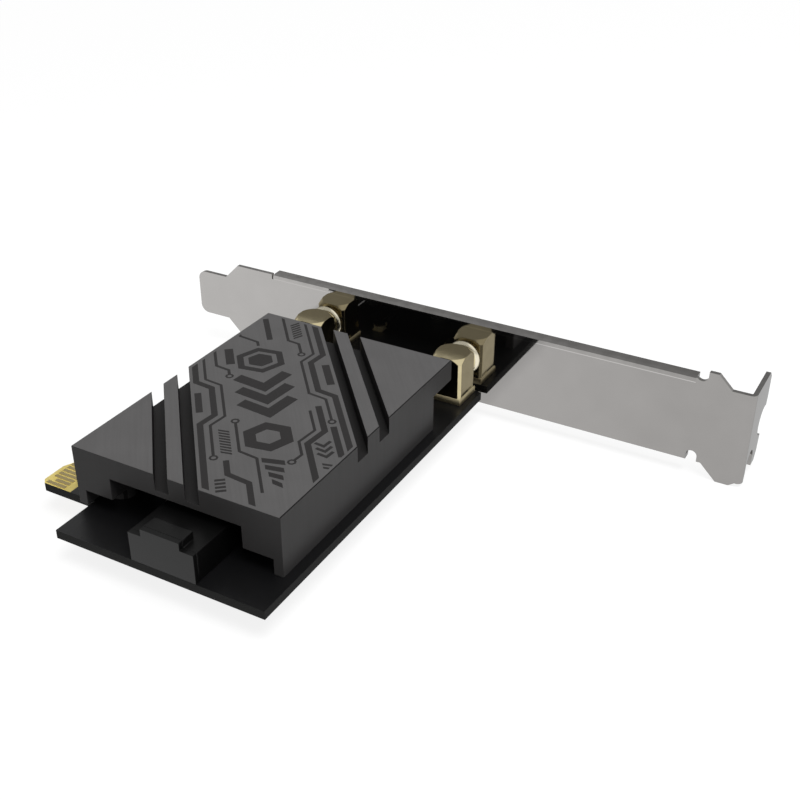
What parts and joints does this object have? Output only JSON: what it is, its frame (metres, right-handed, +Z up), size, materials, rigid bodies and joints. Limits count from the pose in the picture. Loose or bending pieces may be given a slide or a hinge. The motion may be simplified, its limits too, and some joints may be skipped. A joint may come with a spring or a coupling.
{
  "type": "wireless network expansion card",
  "caption": "Short expansion card with a folded steel bracket, a grooved dark heat sink over a radio module, threaded antenna jacks and a small cable header.",
  "frame": {"origin": "middle of the card's outline seen from above, at the level of the bracket's lowest edge", "axes": "+X along the bracket from its tongue to its screw tab, +Y out of the computer's case through the bracket, +Z up from the board's component side"},
  "size_m": [0.12, 0.0866, 0.0216],
  "materials": {
    "plated_steel": "polished zinc plate",
    "board_laminate": "black solder mask on glass laminate",
    "contact_gold": "hard gold plate",
    "dark_aluminium": "dark anodised, finely brushed, with a printed pattern",
    "screw_steel": "zinc plate",
    "thermal_silicone": "soft silicone pad",
    "module_laminate": "green solder mask on glass laminate",
    "shield_tin": "tinned sheet",
    "socket_polymer": "moulded",
    "lead_tin": "bright tin",
    "header_nylon": "moulded",
    "jack_gold": "gold plate on turned brass",
    "insulator_white": "turned fluoropolymer",
    "coax_jacket": "extruded",
    "ceramic": "fired ceramic with tinned ends",
    "ferrite": "pressed ferrite",
    "chip_epoxy": "moulded epoxy"
  },
  "bodies": {
    "root": {"bracket": "plated_steel", "circuit_board": "board_laminate", "edge_contacts_top": "contact_gold", "edge_contacts_bottom": "contact_gold", "heat_sink": "dark_aluminium", "heat_sink_screws": "screw_steel", "radio_module_board": "module_laminate", "radio_module_shield": "shield_tin", "radio_chip": "chip_epoxy", "thermal_pad": "thermal_silicone", "module_socket": "socket_polymer", "module_socket_leads": "lead_tin", "module_standoff": "screw_steel", "module_screw": "screw_steel", "antenna_jack_left": "jack_gold", "antenna_jack_right": "jack_gold", "jack_centre_contacts": "jack_gold", "jack_insulators": "insulator_white", "jack_washers": "jack_gold", "jack_nuts": "jack_gold", "cable_header": "header_nylon", "cable_header_pins": "contact_gold", "cable_header_cap": "header_nylon", "module_receptacles": "jack_gold", "board_receptacles": "jack_gold", "jumper_plugs": "jack_gold", "coax_jumper_left": "coax_jacket", "coax_jumper_right": "coax_jacket", "power_inductor": "ferrite", "power_regulator": "chip_epoxy", "board_capacitors": "ceramic"}
  },
  "joints": []
}
